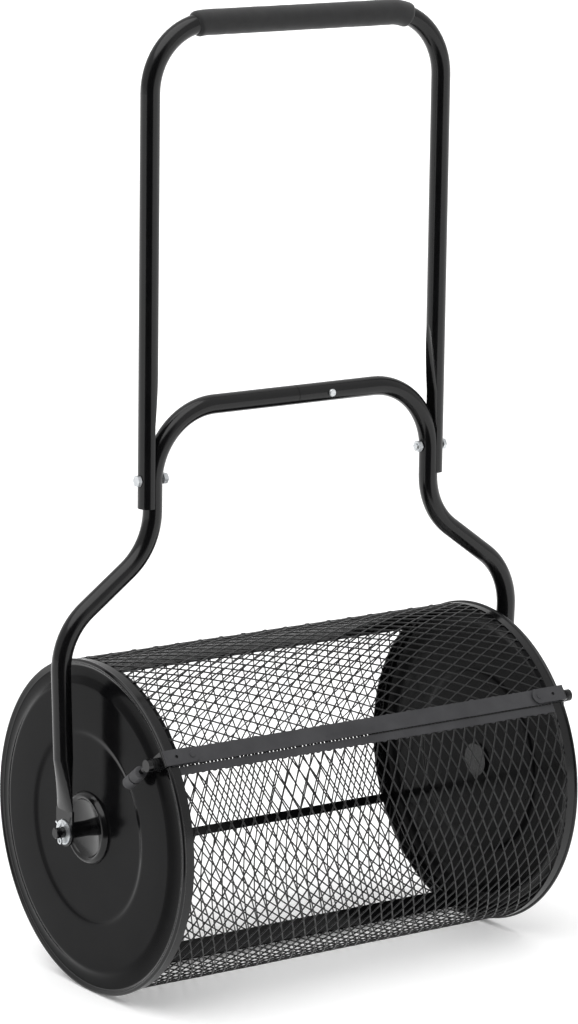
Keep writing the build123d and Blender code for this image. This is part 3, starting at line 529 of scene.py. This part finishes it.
# %% [markdown]
# ## Weld marks
#
# The strands are spot welded to the flat strips. Each weld leaves a small flattened bead on the
# strip's edge, one for each diamond of the mesh. One more row lies on the door's mesh, a few
# millimetres in front of its backing sheet.

# %% Weld beads
WELD_LENGTH = 7.5 * MM
WELD_WIDTH = 3.0 * MM
WELD_RISE = 0.8 * MM
DOOR_STRIP_W = 21 * MM
BODY_STRIP_W = 10 * MM
SHEET_WELD_ANGLE = -16.5  # the backing sheet's edge is 1.5 degrees further back


def weld_beads(name, spots, body, coat):
    """A row of flattened beads. Spots are angle, radius, x, length along x and width round it."""
    bm = bmesh.new()
    for angle, radius, x, length, width in spots:
        turn = Matrix.Rotation(math.radians(angle), 4, "X")
        shape = Matrix.Diagonal((length / 2, width / 2, WELD_RISE, 1))
        bmesh.ops.create_icosphere(bm, subdivisions=2, radius=1,
                                   matrix=Matrix.Translation(at(angle, radius, x)) @ turn @ shape)
    finish_piece(name, bm, body, coat, smooth_angle=80)


def bead_row(angle, radius, half_x, pitch):
    """Spots of one row, each a little different."""
    count = int(2 * half_x / pitch)
    spots = []
    for i in range(count):
        x = (i - (count - 1) / 2) * pitch + random.uniform(-1, 1) * MM
        size = random.uniform(0.85, 1.2)
        spots.append((angle + random.uniform(-0.12, 0.12), radius, x,
                      WELD_LENGTH * size, WELD_WIDTH * size))
    return spots


door_strip_r = RIM_R - 1.7 * MM  # inner face of the door's strip
door_sheet_r = door_strip_r + 0.1 * MM  # on the outside of the door's mesh
body_strip_r = RIM_R - 3.0 * MM  # between the faces of the body's strip
door_strip_edge = DOOR_FRONT_ANGLE - math.degrees(DOOR_STRIP_W / door_strip_r)
body_strip_edge = BODY_FRONT_ANGLE + math.degrees(BODY_STRIP_W / RIM_R)
# The welds on the strips share the strips' coat, with its grey painted sky reflection.
weld_beads("door_strip_welds", bead_row(door_strip_edge, door_strip_r, door_mesh_x, DOOR_PITCH_X),
           "door", strip_coat_painted_reflection)
weld_beads("door_sheet_welds", bead_row(SHEET_WELD_ANGLE, door_sheet_r, door_mesh_x, DOOR_PITCH_X),
           "door", mesh_coat)
weld_beads("body_strip_welds", bead_row(body_strip_edge, body_strip_r, door_mesh_x, BODY_PITCH_X),
           "drum", strip_coat_painted_reflection)

# %% Notched edge that the door's strip closes on
NOTCH_PITCH = 5.6 * MM
NOTCH_W = 4.0 * MM
NOTCH_T = 0.8 * MM
bm = bmesh.new()
notches = int(2 * (door_mesh_x - 2 * MM) / NOTCH_PITCH)
for i in range(notches + 1):
    place = at(BODY_FRONT_ANGLE - 0.45, RIM_R - 2.8 * MM, (i - notches / 2) * NOTCH_PITCH)
    turn = Matrix.Rotation(math.radians(BODY_FRONT_ANGLE), 4, "X")
    shape = Matrix.Diagonal((NOTCH_W, NOTCH_W, NOTCH_T, 1))
    bmesh.ops.create_cube(bm, size=1, matrix=Matrix.Translation(place) @ turn @ shape)
finish_piece("body_strip_notches", bm, "drum", gloss_black)

# %% [markdown]
# ## Latch springs
#
# Each coil sits between the bolt's collar and the barrel's cap. It is made in place, with no body
# of its own.

# %% Coils
WIRE_R = 0.35 * MM
COIL_TURNS = 3
TURN_STEPS = 24
for side, end in SIDES:
    low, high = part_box("latch_spring_" + end)
    middle = (low + high) / 2
    coil_r = (high.z - low.z) / 2 - WIRE_R
    half_length = (high.x - low.x) / 2 - WIRE_R
    steps = COIL_TURNS * TURN_STEPS
    path = []
    for i in range(steps + 1):
        a = math.tau * i / TURN_STEPS
        along = side * half_length * (i / (steps / 2) - 1)
        path.append(middle + Vector((along, coil_r * math.cos(a), coil_r * math.sin(a))))
    bm = bmesh.new()
    sweep(bm, path, lambda share, angle: WIRE_R, 10)
    coil = finish_piece("latch_coil_" + end, bm, None, spring_steel,
                        ["latch_spring_" + end], 60)
    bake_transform(coil)

# %% [markdown]
# ## Foam grip
#
# A foam sleeve on the top bar, long enough to start round both bends. Its ends are rounded over,
# and its surface is slightly uneven.

# %% Foam sleeve
grip_low, grip_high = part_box("foam_grip")
handle_low, handle_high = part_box("handle_tube")
TUBE_R = (handle_high.y - handle_low.y) / 2
GRIP_R = (grip_high.y - grip_low.y) / 2
TOP_Z = handle_high.z - TUBE_R
BEND_R = 84 * MM
STRAIGHT_X = handle_high.x - TUBE_R - BEND_R
GRIP_SHIFT = 6 * MM  # the sleeve was pushed on a little off centre
FOAM_INSET = 0.3 * MM  # how far the surface lies inside the CAD sleeve's
ROUND_OVER = 5 * MM  # length of the rounded ends
END_DROP = 0.9  # share of the foam's thickness that is gone at its very end
LUMP = 0.25 * MM
LUMPS_ALONG = 22
# Angle of each bend that the sleeve covers, a little less than on the CAD's sleeve.
grip_bend = math.asin((grip_high.x - STRAIGHT_X) / (BEND_R + GRIP_R)) * 0.97
grip_length = 2 * (STRAIGHT_X + BEND_R * grip_bend)


def grip_path(steps):
    """Centre line of the sleeve: a bend, the straight top bar and the other bend."""
    path = []
    for i in range(steps + 1):
        s = GRIP_SHIFT - grip_length / 2 + grip_length * i / steps
        if abs(s) <= STRAIGHT_X:
            path.append(Vector((s, 0, TOP_Z)))
        else:
            a = (abs(s) - STRAIGHT_X) / BEND_R
            side = math.copysign(1, s)
            path.append(Vector((side * (STRAIGHT_X + BEND_R * math.sin(a)), 0,
                                TOP_Z - BEND_R * (1 - math.cos(a)))))
    return path


def foam_radius(share, angle):
    """Rounded ends, and a slightly uneven surface that hands have pressed."""
    from_end = min(share, 1 - share) * grip_length
    drop = 0.0
    if from_end < ROUND_OVER:
        fall = 1 - math.sqrt(max(0, 1 - (1 - from_end / ROUND_OVER) ** 2))
        drop = (GRIP_R - TUBE_R) * fall * END_DROP
    lumps = noise.noise(Vector((share * LUMPS_ALONG, math.cos(angle), math.sin(angle)))) * LUMP
    return GRIP_R - FOAM_INSET - drop + lumps


bm = bmesh.new()
sweep(bm, grip_path(140), foam_radius, 56)
grip_sleeve = finish_piece("foam_grip_sleeve", bm, "frame", foam, ["foam_grip"], 50)

# %% [markdown]
# ## CAD nodes that keep their shape
#
# Tubes, axle parts, strips, hinge, latches and fasteners have their true shape in the CAD model, so
# they stay and get their finish. The strips, latch plates and latch rivets have a grey painted sky
# reflection in the colour of their black coat.

# %% Finishes for the CAD nodes
FINISH = {
    gloss_black: ["handle_tube", "fork_left", "fork_right", "axle_left", "axle_right",
                  "spacer_tubes", "rear_bar", "drum_hinge_leaves", "door_hinge_leaves",
                  "drum_hinge_rivets", "door_hinge_rivets", "latch_bolt_left",
                  "latch_bolt_right"],
    disc_black: ["seam_strip", "door_end_bands", "door_backing_sheet"],
    strip_coat_painted_reflection: ["body_front_strip", "body_hinge_strip", "door_rear_strip", "door_front_strip",
                 # The strips, latch rivets and latch plates: black coat with a grey painted sky
                 # reflection in its colour.
                 "latch_rivets", "latch_plate_left", "latch_plate_right"],
    zinc: ["axle_washers", "cotter_pins", "leg_bolts", "leg_nuts", "crossbar_screw",
           "hinge_pins"],
    black_plastic: ["latch_barrel_left", "latch_barrel_right"],
    grey_sleeve: ["latch_grip_left", "latch_grip_right"],
}
for material, names in FINISH.items():
    for name in names:
        mesh = nodes[name].data
        mesh.materials.clear()
        mesh.materials.append(material)
        shade(mesh, 32)

# The tab of each latch plate hangs in front of the disc and gets the plain glossy black coat of the
# disc's rim, without the grey painted sky reflection of the rest of the plate.
TAB_X = RIM_X + 3 * MM
for side, end in SIDES:
    plate = nodes["latch_plate_" + end].data
    plate.materials.append(gloss_black)
    for face in plate.polygons:
        face.material_index = int(abs(face.center.x) > TAB_X)

# %% [markdown]
# ## Floor, light and camera
#
# A plain pale floor, one wide soft sun from above, and a plain bright studio that is dark in front,
# so that the round tubes show a dark stripe between bright edges. The camera itself sees plain
# white behind the object. It stands where the photograph's camera stood.

# %% Floor
CAMERA_WAY = (-0.58, -0.81, 0.0)  # level direction from the drum towards the camera
floor_material, floor_shader, _ = start_material("plain_pale_floor")
floor_shader.inputs["Base Color"].default_value = linear("fbfbfb")
floor_shader.inputs["Roughness"].default_value = 0.9
floor_shader.inputs["Emission Color"].default_value = (1, 1, 1, 1)
floor_shader.inputs["Emission Strength"].default_value = 0.15
# The floor leaves out a wedge in front, so that the tubes mirror the dark front of the studio.
# Its corners are metres along the way to the camera and metres across it.
FLOOR_CORNERS = ((0.8, 0.6), (30, 22), (30, 60), (-40, 60),
                 (-40, -60), (30, -60), (30, -22), (0.8, -0.6))
front = Vector(CAMERA_WAY).normalized()
across = Vector((-front.y, front.x, 0.0))
bm = bmesh.new()
bm.faces.new([bm.verts.new(front * along + across * beside) for along, beside in FLOOR_CORNERS])
bmesh.ops.recalc_face_normals(bm, faces=bm.faces[:])
floor = add_object("floor", to_mesh("floor", bm))
floor.data.materials.append(floor_material)

# %% Studio
# The world's strength falls from bright to dark as a direction nears the camera's side.
world = bpy.data.worlds.new("plain_studio")
bpy.context.scene.world = world
world.use_nodes = True
studio = world.node_tree.nodes["Background"]
studio.inputs["Color"].default_value = (1, 1, 1, 1)
ray = add_node(world, "ShaderNodeTexCoord")
towards_camera = add_node(world, "ShaderNodeVectorMath", {"Vector": ray.outputs["Generated"]},
                          operation="DOT_PRODUCT")
towards_camera.inputs[1].default_value = CAMERA_WAY
dark_front = add_node(world, "ShaderNodeMapRange", {"Value": towards_camera.outputs["Value"]},
                      interpolation_type="SMOOTHSTEP",
                      **{"From Min": 0.66, "From Max": 0.84, "To Min": 0.8, "To Max": 0.03})
link(world, dark_front.outputs["Result"], studio.inputs["Strength"])
backdrop = add_node(world, "ShaderNodeBackground", Color=(1, 1, 1, 1))
seen = add_node(world, "ShaderNodeLightPath")
mix = add_node(world, "ShaderNodeMixShader")
link(world, seen.outputs["Is Camera Ray"], mix.inputs[0])
link(world, studio.outputs[0], mix.inputs[1])
link(world, backdrop.outputs[0], mix.inputs[2])
link(world, mix.outputs[0], world.node_tree.nodes["World Output"].inputs["Surface"])

# %% Sun
SUN_PLACE = Vector((-0.6, -0.3, 2.0))
sun_data = bpy.data.lights.new("overhead_light", "SUN")
sun_data.angle = math.radians(70)
sun_data.energy = 2.0
sun = add_object("overhead_light", sun_data)
sun.location = SUN_PLACE
sun.rotation_mode = "QUATERNION"
sun.rotation_quaternion = (-SUN_PLACE).to_track_quat("-Z", "Y")

# %% Camera
AZIMUTH, ELEVATION, ROLL = -35.476, 11.864, 0.786
DISTANCE = 5.8036
AIM_RISE = 0.3647  # the picture's middle is this far above the axle
LENS_MM = 156.8
a, e = math.radians(AZIMUTH), math.radians(ELEVATION)
back = Vector((math.sin(a) * math.cos(e), -math.cos(a) * math.cos(e), math.sin(e)))
level_right = (-back).cross(Vector((0, 0, 1))).normalized()
level_up = level_right.cross(-back)
roll = math.radians(ROLL)
view_right = level_right * math.cos(roll) + level_up * math.sin(roll)
view_up = level_up * math.cos(roll) - level_right * math.sin(roll)
target = Vector((0, 0, AXLE_Z)) + view_up * AIM_RISE
camera_data = bpy.data.cameras.new("camera")
camera_data.sensor_width = 36
camera_data.lens = LENS_MM
camera = add_object("camera", camera_data)
camera.matrix_world = Matrix.Translation(target + back * DISTANCE) @ Matrix(
    (view_right, view_up, back)).transposed().to_4x4()
bpy.context.scene.camera = camera
bpy.context.scene.view_settings.view_transform = "Standard"
